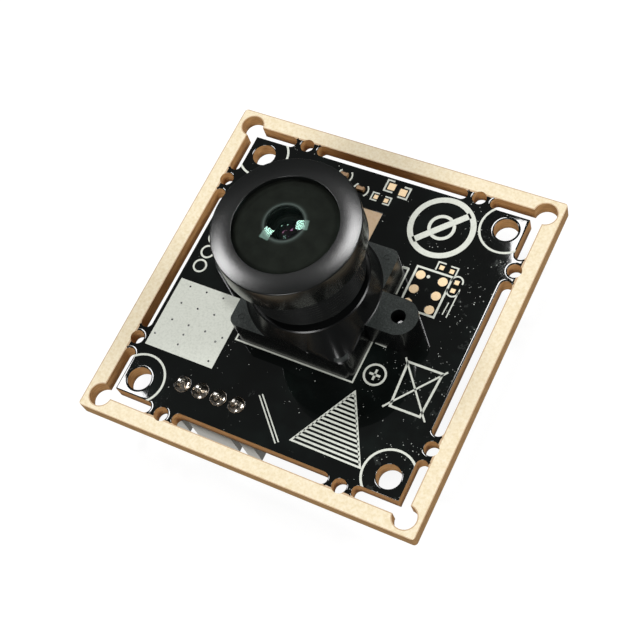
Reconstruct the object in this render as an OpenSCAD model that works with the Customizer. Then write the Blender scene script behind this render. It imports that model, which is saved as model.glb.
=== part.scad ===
// Board camera module: a square circuit board in its break-off frame, with a
// screwed-on lens holder, a wide-angle M12 lens and a four-pin connector.
// Z is 0 at the underside of the board and +Z points the way the lens looks.

/* [Circuit board] */
// Side of the square board inside the frame
board_w = 38; // [37:0.1:44]
// Thickness of the laminate
board_t = 2; // [1.2:0.1:3]
// Thickness of the lacquer on each face
mask_t = 0.06; // [0.04:0.01:0.1]
// How far the lacquer runs out over the break-off tabs
mask_reach = 1.4; // [1:0.1:1.5]
// Distance between mounting hole centres
mount_pitch = 33.6; // [33:0.1:34]
// Mounting hole diameter
mount_d = 3; // [2:0.1:3.4]

/* [Break-off frame] */
// Width of the routed slot between board and frame
slot_w = 1.5; // [1.2:0.1:2]
// Width of the frame's rails
rail_w = 2; // [1.5:0.1:4]
// Radius of the frame's outer corners
rail_corner_r = 0.45; // [0.2:0.05:1]
// Diameter of the routed relief in each inner corner
relief_d = 2.9; // [2.2:0.1:3.2]
// Distance of each tab from the board's centre line
tab_x = 12; // [11:0.1:13]
// Width of each tab
tab_w = 3.1; // [2.6:0.1:3.6]
// Diameter of the hole that weakens each tab
tab_hole_d = 1.8; // [1:0.1:2]
// How far the tab hole's centre lies outside the board's edge
tab_hole_out = 0.9; // [0.6:0.05:1]

/* [Lens holder] */
// Side of the holder's square base
holder_w = 15.6; // [15.2:0.1:16]
// Height of the base
base_h = 4; // [3:0.1:4.2]
// Height of the ears and of the two raised corners
pad_h = 4.4; // [4.3:0.1:5]
// Height of the round collar
collar_h = 7.2; // [6.4:0.1:8]
// Diameter of the collar at its top
collar_d = 14.5; // [13.8:0.1:14.8]
// Amount that the collar widens on each side down to the ears
collar_draft = 0.88; // [0.6:0.02:0.9]
// Radius of the base's corners
holder_corner_r = 1.1; // [0.6:0.1:1.6]
// Radius of the fillet round the collar's foot
foot_r = 0.5; // [0.2:0.1:0.7]
// Distance between the two ear holes
ear_pitch = 22; // [21.4:0.1:23]
// Radius of each ear's round end
ear_r = 2.35; // [2:0.05:2.6]
// Diameter of the ear holes
ear_hole_d = 1.76; // [1.6:0.02:2]
// Side of the square room over the sensor
room_w = 12.4; // [11.6:0.1:13]
// Height of that room
room_h = 2.2; // [2:0.1:2.5]
// Diameter of the light opening above the filter
window_d = 7.8; // [6:0.1:8]
// Depth of the recess that the filter lies in
filter_recess = 0.4; // [0.35:0.05:0.6]
// Side of the infrared filter
filter_w = 8.6; // [8.3:0.1:9.4]
// Thickness of the infrared filter
filter_t = 0.3; // [0.2:0.05:0.35]

/* [Holder screws] */
// Outer diameter of the screw thread
screw_d = 1.7; // [1.4:0.1:1.7]
// Length under the head
screw_l = 5; // [4:0.1:6]
// Head diameter
screw_head_d = 3.2; // [2.6:0.1:3.8]
// Head height
screw_head_h = 1.1; // [0.8:0.1:1.4]

/* [Lens body] */
// Diameter of the lens mounting thread
thread_d = 12; // [11:0.1:12.4]
// Height of the lens body's lower end above the board
tail_z = 3.9; // [3.7:0.1:4.4]
// Height where the mounting thread meets the wider neck
neck_z = 8.3; // [8.1:0.1:9]
// Core diameter of the neck's fine thread
neck_d = 13.6; // [13.4:0.1:14]
// Height of the top of the lens body
barrel_top_z = 17.9; // [17:0.1:18]
// Bore for the front lens group
front_bore_d = 9.2; // [8.6:0.1:9.6]
// Bore for the rear lens group
rear_bore_d = 7.4; // [6.8:0.1:7.8]
// Height of the shoulder between the two bores
shoulder_z = 12; // [11.4:0.1:12.4]
// Height of the step that the rear element rests on
rear_seat_z = 6; // [5.6:0.1:6.4]

/* [Front cap] */
// Outer diameter of the cap
cap_d = 17.1; // [16.4:0.1:18]
// Height of the cap's lower edge
cap_z = 15.4; // [14.6:0.1:16]
// Height of the cap's outer rim
rim_z = 19; // [18.8:0.05:19.4]
// How far the face rises from the outer rim to the opening
face_rise = 0.16; // [0:0.02:0.4]
// Chamfer on the outer rim
rim_chamfer = 0.15; // [0.05:0.05:0.3]
// Diameter of the opening over the glass
opening_d = 12.15; // [11.6:0.05:12.4]
// Wall between the cap's thread and the glass recess
cap_seat_d = 13; // [12.9:0.1:13.3]

/* [Glass] */
// Clearance round the front element in its seat
front_glass_gap = 0.1; // [0.05:0.05:0.2]
// Radius of the front element's outer surface
front_r = 18; // [16:0.5:22]
// Thickness of the front element at its middle
front_mid_t = 0.7; // [0.6:0.05:0.75]
// Radius of the bowl ground into its back
bowl_r = 3.3; // [2.8:0.1:4]
// Depth of that bowl
bowl_depth = 1.05; // [0.9:0.05:1.1]
// Radius of the inner elements' curved faces
inner_r = 7; // [6.5:0.1:9]
// Thickness of the second element
second_t = 2.3; // [1.8:0.1:2.6]
// Thickness of the third element
third_t = 2; // [1.6:0.1:2.4]
// Thickness of the fourth element
fourth_t = 2; // [1.6:0.1:2.4]
// Thickness of the rear element
rear_t = 2.4; // [2:0.1:2.8]
// Diameter of the hole in the aperture plate
stop_d = 2.2; // [1:0.1:3]
// Thickness of the aperture plate
stop_t = 0.15; // [0.1:0.05:0.3]

/* [Image sensor] */
// Length of the sensor package along X
sensor_l = 9.6; // [8:0.1:10.4]
// Width of the sensor package along Y
sensor_w = 8.8; // [7:0.1:10.4]
// Height of the sensor package
sensor_h = 0.8; // [0.6:0.05:1]
// Thickness of the glass on the sensor
sensor_glass_t = 0.4; // [0.3:0.05:0.5]

/* [Connector] */
// Number of pins
pin_count = 4; // [2:1:4]
// Distance between pins
pin_pitch = 2.5; // [2:0.05:2.54]
// Thickness of the square pins
pin_w = 0.64; // [0.5:0.02:0.64]
// Middle of the pin row along X
plug_x = -7.6; // [-7.8:0.1:-7.3]
// Middle of the pin row along Y
plug_y = -15.5; // [-15.6:0.1:-15.4]
// Length of the socket beyond the outer pins
plug_end = 2.45; // [2.2:0.05:2.6]
// Width of the socket
plug_w = 5.75; // [5:0.05:6]
// Height of the socket
plug_h = 7; // [5.5:0.1:8]
// Thickness of the socket's walls
plug_wall = 0.8; // [0.6:0.05:1]
// Thickness of the socket's floor
plug_floor = 1.3; // [1:0.1:1.8]
// Diameter of the solder on each pin
solder_d = 2; // [1.6:0.1:2.2]
// Height of the solder on each pin
solder_h = 0.9; // [0.6:0.1:1.3]

/* [Printed fields] */
// Side of the white square
block_w = 9.6; // [9:0.1:9.8]
// Thickness of the ink
ink_t = 0.03; // [0.02:0.01:0.05]
// Width of the printed lines
line_w = 0.28; // [0.2:0.02:0.4]
// Space between the holder's base and its printed outline
outline_gap = 0.02; // [0.02:0.02:0.3]
// Width of that outline
outline_w = 0.2; // [0.12:0.02:0.3]
// How far beyond the ears' middle the outline starts again
ear_gap = 4.3; // [2.8:0.1:5]
// Radius of the printed arc round each mounting hole
arc_r = 3.2; // [2.8:0.1:3.4]

/* [Chips] */
// Side of the image processor
processor_w = 9; // [7:0.1:9]
// Height of the image processor
processor_h = 0.9; // [0.7:0.1:1.2]
// Length of the memory chip's body
memory_l = 5.3; // [4:0.1:5.6]
// Height of the memory chip
memory_h = 1.7; // [1.4:0.1:2]
// Length of the regulators
regulator_l = 2.9; // [2.5:0.1:3.1]
// Width of the regulators without their legs
regulator_w = 1.6; // [1.4:0.1:1.8]
// Height of the regulators
regulator_h = 1.15; // [1:0.05:1.3]
// Distance between the regulators' legs
regulator_pitch = 0.95; // [0.9:0.05:1]
// Distance between the memory chip's legs
memory_pitch = 1.27; // [1.1:0.01:1.4]
// How far the legs of the memory chip reach out
memory_reach = 1.3; // [1:0.1:1.4]
// Length of the crystal's can
crystal_l = 3.2; // [2.5:0.1:3.3]
// Width of the crystal's can
crystal_w = 2.5; // [2:0.1:2.8]
// Height of the crystal
crystal_h = 0.75; // [0.6:0.05:1]
// Side of the power inductors
inductor_w = 3; // [2.5:0.1:3.2]
// Height of the power inductors
inductor_h = 1.2; // [1:0.1:1.6]
// Thickness of the bare pads
pad_t = 0.05; // [0.03:0.01:0.06]

/* [Hidden] */
$fn = 72;

// Gap left between faces that seat on each other without touching
fit = 0.02;
// Overshoot of cutting shapes past the faces that they cut
cut = 1;

board_h = board_w / 2;
slot_mid = board_h + slot_w / 2;
frame_in = board_h + slot_w;
frame_out = frame_in + rail_w;
slot_r = slot_w / 2;
relief_at = frame_in - 0.1;
tab_hole_at = board_h + tab_hole_out;
long_slot = tab_x - tab_w / 2;
short_slot = tab_x + tab_w / 2;
mount_at = mount_pitch / 2;
ear_x = ear_pitch / 2;
// The face that the holder and the upper parts stand on, and its counterpart below
top_z = board_t + mask_t;
under_z = -mask_t;
pin_hole_d = pin_w * sqrt(2) + 0.1;
screw_hole_d = screw_d + 0.3;
block_x = -board_h + 0.5;
block_y = -2.85 - block_w;
field_x = -3.7;
field_y = 8.6;
field_w = 5.3;

function sag(r, half) = r - sqrt(r * r - half * half);
function first_pin() = plug_x - (pin_count - 1) * pin_pitch / 2;
function arc(r, from, to, n) =
    [for (i = [0:n]) let (a = from + (to - from) * i / n) [r * cos(a), r * sin(a)]];

// ---- outlines ----

module rounded_square(w, r) {
    square([w - 2 * r, w], center = true);
    square([w, w - 2 * r], center = true);
    for (x = [-1, 1], y = [-1, 1])
        translate([x * (w / 2 - r), y * (w / 2 - r)]) circle(r);
}

module at_corners(d) {
    for (x = [-1, 1], y = [-1, 1]) translate([x * d, y * d]) children();
}

module at_tabs() {
    for (a = [0:90:270], x = [-1, 1]) rotate(a) translate([x * tab_x, tab_hole_at]) children();
}

module slot(from, to) {
    translate([from + slot_r, slot_mid - slot_r]) square([to - from - 2 * slot_r, slot_w]);
    for (x = [from + slot_r, to - slot_r]) translate([x, slot_mid]) circle(slot_r);
}

module corner_slot() {
    translate([short_slot + slot_r, board_h]) square([frame_in - short_slot - slot_r, slot_w]);
    translate([short_slot + slot_r, slot_mid]) circle(slot_r);
}

module routed_slots() {
    for (a = [0:90:270]) rotate(a) {
        slot(-long_slot, long_slot);
        corner_slot();
        mirror([1, 0]) corner_slot();
    }
    at_corners(relief_at) circle(d = relief_d);
}

module pin_places() {
    for (i = [0:pin_count - 1]) translate([first_pin() + i * pin_pitch, plug_y]) children();
}

module drilled_holes() {
    at_corners(mount_at) circle(d = mount_d);
    at_tabs() circle(d = tab_hole_d);
    for (x = [-1, 1]) translate([x * ear_x, 0]) circle(d = screw_hole_d);
    pin_places() circle(d = pin_hole_d);
}

// ---- circuit board, one piece of laminate with its break-off frame ----

module circuit_board() {
    color("#d9bf92") linear_extrude(board_t) difference() {
        rounded_square(2 * frame_out, rail_corner_r);
        routed_slots();
        drilled_holes();
    }
}

// Lacquer covers the board and the tabs, and leaves the rails bare
module mask_outline() {
    difference() {
        union() {
            square(board_w, center = true);
            for (a = [0, 90]) rotate(a) square([2 * short_slot, 2 * (board_h + mask_reach)], center = true);
        }
        routed_slots();
        drilled_holes();
    }
}

module solder_mask_top() {
    color("#0b0d0d") translate([0, 0, board_t]) linear_extrude(mask_t) difference() {
        mask_outline();
        translate([field_x, field_y]) square(field_w);
        contact_outline(fit);
        pin_places() circle(d = solder_d + 2 * fit);
    }
}

module solder_mask_bottom() {
    color("#0b0d0d") translate([0, 0, under_z]) linear_extrude(mask_t) difference() {
        mask_outline();
        pin_places() circle(d = solder_d + 2 * fit);
    }
}

// Bare contacts: six round ones for test pins and a few for parts left off
test_x = [9.6, 12.5];
test_y = [7.75, 5.75, 3.8];
test_r = 0.58;
small_pads = [[11.63, 9.47], [12.98, 9.38], [14.14, 8.22], [14.12, 7.08], [-0.22, 15.84], [1.22, 15.73]];
large_pads = [[1.08, 17.82], [2.76, 17.47]];

module contact_outline(grow) {
    for (x = test_x, y = test_y) translate([x, y]) circle(test_r + grow);
    for (p = small_pads) translate(p) square(0.55 + 2 * grow, center = true);
    for (p = large_pads) translate(p) square(0.95 + 2 * grow, center = true);
}

module contact_pads() {
    color("#e3c49a") translate([0, 0, board_t]) linear_extrude(pad_t) contact_outline(0);
}

// White ink: the square field, the holder's outline and the arcs round the corner holes
module printed_legend() {
    outline = holder_w + 2 * outline_gap;
    color("#cfd3c8") translate([0, 0, top_z]) linear_extrude(ink_t) {
        difference() {
            translate([block_x, block_y]) square(block_w);
            square(outline, center = true);
        }
        difference() {
            square(outline + 2 * outline_w, center = true);
            square(outline, center = true);
            translate([block_x, block_y]) square(block_w);
            translate([-ear_x, -ear_r - outline_gap]) square([ear_pitch, ear_gap + ear_r + outline_gap]);
        }
        intersection() {
            square(board_w, center = true);
            at_corners(mount_at) difference() {
                circle(arc_r + line_w / 2);
                circle(arc_r - line_w / 2);
            }
        }
    }
}

// ---- lens holder ----

module holder_plan() {
    rounded_square(holder_w, holder_corner_r);
}

module ear_plan() {
    for (s = [-1, 1]) {
        translate([s * ear_x, 0]) circle(ear_r);
        translate([s * ear_x / 2, 0]) square([ear_x, 2 * ear_r], center = true);
    }
}

// The raised level: the two square corners and the ears
module pad_plan() {
    intersection() {
        holder_plan();
        for (s = [0, 1]) rotate(180 * s) square(holder_w);
    }
    ear_plan();
}

// Slope of the collar's wall, and its radius at a height
draft = collar_draft / (collar_h - pad_h);
function collar_r(z) = collar_d / 2 + draft * (collar_h - z);

// Fillet between the sloping wall and the flat at height z
module collar_foot(z) {
    out = collar_r(z) + foot_r * (sqrt(1 + draft * draft) - draft) - fit / 2;
    rotate_extrude() polygon(concat([[collar_r(z) - 1, z - fit]],
        [for (p = arc(foot_r, 264, 182 + atan(draft), 8)) [out + p[0], z + foot_r - fit / 2 + p[1]]],
        [[collar_r(z) - 1, z + foot_r]]));
}

module collar() {
    top_r = collar_d / 2;
    rotate_extrude() polygon([[0, 0], [collar_r(base_h), 0], [collar_r(base_h), base_h],
        [top_r + 0.12 * draft, collar_h - 0.12], [top_r - 0.12, collar_h], [0, collar_h]]);
}

module holder_body() {
    linear_extrude(base_h) holder_plan();
    linear_extrude(pad_h) pad_plan();
    intersection() {
        collar();
        linear_extrude(collar_h) {
            holder_plan();
            ear_plan();
        }
    }
    intersection() {
        collar_foot(base_h);
        linear_extrude(collar_h) holder_plan();
    }
    intersection() {
        collar_foot(pad_h);
        linear_extrude(collar_h) pad_plan();
    }
}

module lens_holder() {
    ledge_z = room_h + filter_recess;
    ejector_at = holder_w / 2 - 1.3;
    ejector_r = 0.42;
    ejector_depth = 0.08;
    color("#151616") translate([0, 0, top_z]) difference() {
        holder_body();
        translate([0, 0, -cut]) linear_extrude(room_h + cut) rounded_square(room_w, 0.5);
        translate([0, 0, room_h - cut]) linear_extrude(filter_recess + cut)
            square(filter_w + 0.2, center = true);
        cylinder(h = collar_h + cut, d = window_d);
        translate([0, 0, ledge_z + 0.6]) cylinder(h = collar_h, d = thread_d);
        for (s = [-1, 1]) translate([s * ear_x, 0, -cut])
            cylinder(h = pad_h + 2 * cut, d = ear_hole_d, $fn = 32);
        // ring that an ejector pin leaves on each raised corner
        for (s = [-1, 1]) translate([s * ejector_at, s * ejector_at, pad_h - ejector_depth]) difference() {
            cylinder(h = cut, r = ejector_r, $fn = 24);
            translate([0, 0, -cut]) cylinder(h = 3 * cut, r = ejector_r * 0.6, $fn = 24);
        }
    }
}

module holder_screws() {
    socket_w = 0.32;
    for (s = [-1, 1]) translate([s * ear_x, 0, under_z - fit]) color("#8c8f92") difference() {
        rotate_extrude($fn = 40) polygon([[0, -screw_head_h], [screw_head_d * 0.28, -screw_head_h],
            [screw_head_d * 0.46, -screw_head_h * 0.72], [screw_head_d / 2, -screw_head_h * 0.3],
            [screw_head_d / 2, 0], [screw_d / 2, 0], [screw_d / 2, screw_l - screw_d / 2],
            [screw_d * 0.15, screw_l], [0, screw_l]]);
        for (a = [0, 90]) rotate(a) translate([0, 0, -screw_head_h])
            cube([screw_head_d * 0.55, socket_w, 1.1], center = true);
    }
}

module infrared_filter() {
    color("#7fb0c8") translate([0, 0, top_z + room_h + filter_recess - filter_t - fit])
        linear_extrude(filter_t) square(filter_w, center = true);
}

// ---- image sensor ----

module image_sensor() {
    color("#2a2c30") translate([0, 0, top_z]) linear_extrude(sensor_h)
        square([sensor_l, sensor_w], center = true);
}

module sensor_glass() {
    inset = 1.2;
    color("#88a0a8") translate([0, 0, top_z + sensor_h])
        linear_extrude(sensor_glass_t)
            square([sensor_l - inset, sensor_w - inset], center = true);
}

// ---- lens ----

stop_z = shoulder_z + fit;
third_z = stop_z + stop_t + fit;
second_z = barrel_top_z - 0.3 - second_t;
spacer_z = third_z + third_t + fit;
front_back_z = barrel_top_z + fit;
front_apex_z = front_back_z + bowl_depth + front_mid_t;
fourth_z = shoulder_z - 0.4 - fourth_t;
rear_top_z = rear_seat_z + rear_t;

// One turned piece: thread below, wider neck above, two bores that meet at a shoulder
module lens_barrel() {
    tail_r = thread_d / 2 - 0.04;
    color("#101112") translate([0, 0, top_z]) rotate_extrude() difference() {
        polygon([[0, tail_z], [tail_r - 0.3, tail_z], [tail_r, tail_z + 0.3], [tail_r, neck_z],
            [neck_d / 2, neck_z], [neck_d / 2, barrel_top_z], [0, barrel_top_z]]);
        polygon([[-cut, tail_z - cut], [rear_bore_d / 2 - 0.6, tail_z - cut],
            [rear_bore_d / 2 - 0.6, rear_seat_z],
            [rear_bore_d / 2, rear_seat_z], [rear_bore_d / 2, shoulder_z],
            [front_bore_d / 2, shoulder_z], [front_bore_d / 2, barrel_top_z + cut],
            [-cut, barrel_top_z + cut]]);
    }
}

// The ring that screws on over the neck and holds the front glass
module front_cap() {
    outer = cap_d / 2;
    hole = opening_d / 2;
    seat = cap_seat_d / 2;
    bore = neck_d / 2 + 2 * fit;
    lip_z = front_apex_z - sag(front_r, hole) + fit;
    color("#17191a") translate([0, 0, top_z]) rotate_extrude($fn = 96) polygon([
        [bore, cap_z], [outer - 0.1, cap_z], [outer, cap_z + 0.1], [outer, rim_z - rim_chamfer],
        [outer - rim_chamfer, rim_z], [hole + 0.08, rim_z + face_rise], [hole, rim_z + face_rise - 0.08],
        [hole, lip_z], [seat, lip_z], [seat, barrel_top_z + fit], [bore, barrel_top_z + fit]]);
}

// A disc of glass with a domed top and a flat or hollow back
module dome_glass(d, r, z_back, z_apex) {
    half = asin(d / 2 / r);
    polygon(concat([[0, z_back], [d / 2, z_back]],
        [for (p = arc(r, 90 - half, 90, 12)) [max(p[0], 0), p[1] - r + z_apex]]));
}

module front_element() {
    color("#0d1512") translate([0, 0, top_z]) rotate_extrude() difference() {
        dome_glass(cap_seat_d - 2 * front_glass_gap, front_r, front_back_z, front_apex_z);
        translate([0, front_back_z + bowl_depth - bowl_r]) circle(bowl_r, $fn = 48);
    }
}

module second_element() {
    d = front_bore_d - 2 * fit;
    color("#12201c") translate([0, 0, top_z]) rotate_extrude() difference() {
        dome_glass(d, inner_r, second_z, second_z + second_t);
        translate([0, second_z - inner_r * 0.12]) circle(inner_r * 0.32, $fn = 40);
    }
}

module lens_spacer() {
    color("#1b1b1c") translate([0, 0, top_z + spacer_z]) rotate_extrude() difference() {
        square([front_bore_d / 2 - fit, second_z - fit - spacer_z]);
        square([front_bore_d / 2 - 1.1, third_z]);
    }
}

module third_element() {
    color("#1a2420") translate([0, 0, top_z]) rotate_extrude()
        dome_glass(front_bore_d - 2 * fit, inner_r, third_z, third_z + third_t);
}

module aperture_plate() {
    color("#0c0c0c") translate([0, 0, top_z + stop_z]) linear_extrude(stop_t) difference() {
        circle(d = front_bore_d - 2 * fit);
        circle(d = stop_d);
    }
}

module fourth_element() {
    color("#1a2420") translate([0, 0, top_z]) rotate_extrude()
        dome_glass(rear_bore_d - 2 * fit, inner_r, fourth_z, fourth_z + fourth_t);
}

module rear_spacer() {
    color("#1b1b1c") translate([0, 0, top_z + rear_top_z + fit]) rotate_extrude() difference() {
        square([rear_bore_d / 2 - fit, fourth_z - rear_top_z - 2 * fit]);
        square([rear_bore_d / 2 - 0.8, fourth_z]);
    }
}

module rear_element() {
    color("#1a2420") translate([0, 0, top_z]) rotate_extrude()
        dome_glass(rear_bore_d - 2 * fit, inner_r, rear_seat_z + fit, rear_top_z);
}

// ---- connector on the underside ----

module connector_housing() {
    length = (pin_count - 1) * pin_pitch + 2 * plug_end;
    color("#e8e4d8") translate([plug_x, plug_y, under_z - plug_h]) difference() {
        linear_extrude(plug_h) square([length, plug_w], center = true);
        translate([0, 0, -cut]) linear_extrude(plug_h - plug_floor + cut)
            square([length - 2 * plug_wall, plug_w - 2 * plug_wall], center = true);
        // two keyways in the long wall, where the plug's ribs slide in
        for (s = [-1, 1]) translate([s * (length / 2 - 2.6), -plug_w / 2, -cut])
            linear_extrude(plug_h - plug_floor + cut) square([1.2, 3 * plug_wall], center = true);
        translate([-plug_x, -plug_y, 0]) linear_extrude(plug_h + cut)
            pin_places() square(pin_w + 2 * fit, center = true);
    }
}

pin_low_z = under_z - plug_h + 1;
pin_top_z = top_z + solder_h + 0.3;

module connector_pins() {
    point = pin_w / 2;
    color("#c9ccd0") pin_places() translate([0, 0, pin_low_z]) intersection() {
        linear_extrude(pin_top_z - pin_low_z) square(pin_w, center = true);
        rotate([90, 0, 0]) linear_extrude(pin_w, center = true) pin_side(point);
        rotate([90, 0, 90]) linear_extrude(pin_w, center = true) pin_side(point);
    }
}

module pin_side(point) {
    high = pin_top_z - pin_low_z;
    polygon([[-point / 2, 0], [point / 2, 0], [point, point], [point, high - point], [point / 2, high],
        [-point / 2, high], [-point, high - point], [-point, point]]);
}

module solder_joints() {
    color("#c7a98c") pin_places() translate([0, 0, board_t]) difference() {
        rotate_extrude($fn = 40) polygon([[0, 0], [solder_d / 2, 0], [solder_d / 2, mask_t],
            [solder_d * 0.36, mask_t + solder_h * 0.3], [solder_d * 0.27, mask_t + solder_h * 0.7],
            [solder_d * 0.24, mask_t + solder_h], [0, mask_t + solder_h]]);
        cube([pin_w + 0.01, pin_w + 0.01, 4 * solder_h + cut], center = true);
    }
}

// ---- chips ----

// Places of the parts on the underside and of the two on the top
processor_at = [block_x + block_w / 2, block_y + block_w / 2];
memory_at = [9.5, -10];
crystal_at = [-4.6, -8.6];
regulators_at = [[2.4, -15.6], [7.2, -15.6], [12.4, -15.9]];
inductors_at = [[2.2, -10.6], [14, 5]];
top_capacitors_at = [[-5.31, 17.35], [-2.47, 16.15]];
capacitors_at = [[-2.2, -5.2], [0, -5.2], [2.2, -5.2], [-2.2, 5.2], [0, 5.2], [2.2, 5.2], [4.7, -12.6],
    [4.7, -9.4], [14.5, -4.6], [10.8, 7.6], [-8, 1.8], [-8, 4.2], [-17, -1.4], [-14, -1.4]];
resistors_at = [[-11, 3.2], [-8, -1.4], [-5.4, 1.8], [5.8, 3.2], [5.8, 5.6], [8, 10.2], [10, 10.2],
    [-5.2, 10.4], [-2.6, 10.4], [14.5, -8], [14.5, -11]];

module below(p) {
    translate([p[0], p[1], under_z]) mirror([0, 0, 1]) children();
}

module package(l, w, h, bevel) {
    linear_extrude(h - bevel) square([l, w], center = true);
    translate([0, 0, h - bevel - fit]) linear_extrude(bevel + fit)
        square([l - bevel, w - bevel], center = true);
}

// A leg bent down from the side of a chip to its foot on the board
module leg(reach, h, w) {
    thick = 0.2;
    rotate([90, 0, 0]) linear_extrude(w, center = true) polygon([[0, h], [0, h - thick],
        [reach * 0.35, h - thick], [reach * 0.45, 0], [reach, 0], [reach, thick],
        [reach * 0.45 + thick * 1.1, thick], [reach * 0.45 + thick * 0.7, h], [0, h]]);
}

module legged_chip(l, w, h, legs, pitch, reach) {
    translate([0, 0, 0.15]) package(l, w, h - 0.15, 0.2);
    for (side = [0, 180], i = [0:legs - 1]) rotate(side)
        translate([(i - (legs - 1) / 2) * pitch, w / 2 - 0.1, 0]) rotate(90) leg(reach, h * 0.55, 0.4);
}

module chip_part(l, w, h) {
    end = l * 0.22;
    linear_extrude(h - 0.03) square([l - 0.02, w - 0.04], center = true);
    for (s = [-1, 1]) translate([s * (l - end) / 2, 0]) linear_extrude(h) square([end, w], center = true);
}

module image_processor() {
    color("#1d1e20") below(processor_at) package(processor_w, processor_w, processor_h, 0.15);
}

module flash_memory() {
    color("#222326") below(memory_at) rotate(90)
        legged_chip(memory_l, memory_l, memory_h, 4, memory_pitch, memory_reach);
}

module crystal() {
    color("#b9bbbd") below(crystal_at) {
        linear_extrude(crystal_h / 2) square([crystal_l, crystal_w], center = true);
        linear_extrude(crystal_h) square([crystal_l - 0.4, crystal_w - 0.4], center = true);
    }
}

module voltage_regulators() {
    color("#1f2022") for (p = regulators_at) below(p)
        legged_chip(regulator_l, regulator_w, regulator_h, 3, regulator_pitch, 0.7);
}

module power_inductors() {
    color("#3a3a3c") for (p = inductors_at) below(p) package(inductor_w, inductor_w, inductor_h, 0.25);
}

module chip_capacitors() {
    color("#b08a5a") {
        for (p = capacitors_at) below(p) chip_part(1, 0.5, 0.5);
        for (p = top_capacitors_at) translate([p[0], p[1], top_z]) chip_part(1, 0.5, 0.5);
    }
}

module chip_resistors() {
    color("#26282b") for (p = resistors_at) below(p) chip_part(1, 0.5, 0.35);
}

circuit_board();
solder_mask_top();
solder_mask_bottom();
printed_legend();
contact_pads();
lens_holder();
holder_screws();
infrared_filter();
image_sensor();
sensor_glass();
lens_barrel();
front_cap();
front_element();
second_element();
lens_spacer();
third_element();
aperture_plate();
fourth_element();
rear_spacer();
rear_element();
connector_housing();
connector_pins();
solder_joints();
image_processor();
flash_memory();
crystal();
voltage_regulators();
power_inductors();
chip_capacitors();
chip_resistors();
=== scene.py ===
import math
import random

import bmesh
import bpy
from bpy.props import FloatProperty, FloatVectorProperty, PointerProperty
from mathutils import Matrix, Vector, noise


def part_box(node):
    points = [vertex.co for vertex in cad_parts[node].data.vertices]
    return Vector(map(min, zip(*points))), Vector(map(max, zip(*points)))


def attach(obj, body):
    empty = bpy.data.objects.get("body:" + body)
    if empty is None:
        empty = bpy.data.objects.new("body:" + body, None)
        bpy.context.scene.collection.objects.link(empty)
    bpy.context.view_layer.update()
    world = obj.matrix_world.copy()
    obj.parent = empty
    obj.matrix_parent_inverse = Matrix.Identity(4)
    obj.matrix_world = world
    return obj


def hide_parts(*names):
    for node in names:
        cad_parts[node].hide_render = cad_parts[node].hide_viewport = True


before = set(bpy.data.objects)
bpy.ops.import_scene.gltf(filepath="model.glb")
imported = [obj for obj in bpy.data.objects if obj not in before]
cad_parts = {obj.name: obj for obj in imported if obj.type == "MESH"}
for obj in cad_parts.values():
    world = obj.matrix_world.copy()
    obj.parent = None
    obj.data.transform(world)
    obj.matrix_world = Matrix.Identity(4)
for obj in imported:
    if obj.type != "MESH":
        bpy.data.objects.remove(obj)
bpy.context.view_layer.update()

bl_info = {
    "name": "Board camera module",
    "version": (1, 0, 0),
    "blender": (4, 5, 0),
    "location": "3D View > Sidebar > Camera Module",
    "description": "Dresses a board camera with its lacquer, ink, solder, lens glass and chips, "
                   "and lights it",
    "category": "Object",
}

MM = 0.001


# ---------------------------------------------------------------- sizes from the frame

def low(node):
    """Lowest corner of a CAD node, in millimetres."""
    return [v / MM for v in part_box(node)[0]]


def high(node):
    """Highest corner of a CAD node, in millimetres."""
    return [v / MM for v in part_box(node)[1]]


FRAME_HALF = high("circuit_board")[0]
BOARD_TOP = high("circuit_board")[2]
LACQUER_TOP = high("solder_mask_top")[2]
LACQUER_REACH = high("solder_mask_top")[0]
BOARD_HALF = high("printed_legend")[0]

# the same millimetres as in the part
SLOT = 1.5
FRAME_IN = BOARD_HALF + SLOT
HOLE_AT = 16.8
HOLE_R = 1.5
TAB_AT = 12.0
TAB_HALF = 1.55
TAB_HOLE_R = 0.9
TAB_HOLE_OUT = 0.9
PAD_CORNER = (-3.7, 8.6)
PAD_W = 5.3
FLOOR_Z = low("connector_housing")[2]
FLOOR_SIZE = 2.5  # metres to each side
HOLDER_HALF = high("lens_holder")[1]


# ---------------------------------------------------------------- materials

def linear(code):
    """Turns an sRGB hex colour into linear values."""
    parts = [int(code[i:i + 2], 16) / 255 for i in (1, 3, 5)]
    return tuple(v / 12.92 if v <= 0.04045 else ((v + 0.055) / 1.055) ** 2.4
                 for v in parts) + (1.0,)


def add(tree, kind, settings=None, links=None, **attributes):
    """Adds one shader node, sets its attributes and socket values, and links its inputs."""
    made = tree.nodes.new(kind)
    for name, value in attributes.items():
        setattr(made, name, value)
    for name, value in (settings or {}).items():
        made.inputs[name].default_value = value
    for name, source in (links or {}).items():
        tree.links.new(source, made.inputs[name])
    return made


def finish_of(name, colour, **settings):
    """Makes a material with one Principled shader and returns it with its tree and shader."""
    made = bpy.data.materials.new(name)
    made.use_nodes = True
    made.diffuse_color = linear(colour)
    tree = made.node_tree
    shader = tree.nodes["Principled BSDF"]
    shader.inputs["Base Color"].default_value = linear(colour)
    for key, value in settings.items():
        shader.inputs[key.replace("_", " ")].default_value = value
    return made, tree, shader


def place(tree):
    """The part's own coordinates, in metres."""
    return add(tree, "ShaderNodeTexCoord").outputs["Object"]


def fine_noise(tree, where, size_mm, detail=2.0, rough=0.5):
    """Noise whose features are about size_mm across."""
    return add(tree, "ShaderNodeTexNoise",
               {"Scale": 1 / (size_mm * MM), "Detail": detail, "Roughness": rough},
               {"Vector": where}).outputs["Fac"]


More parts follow.
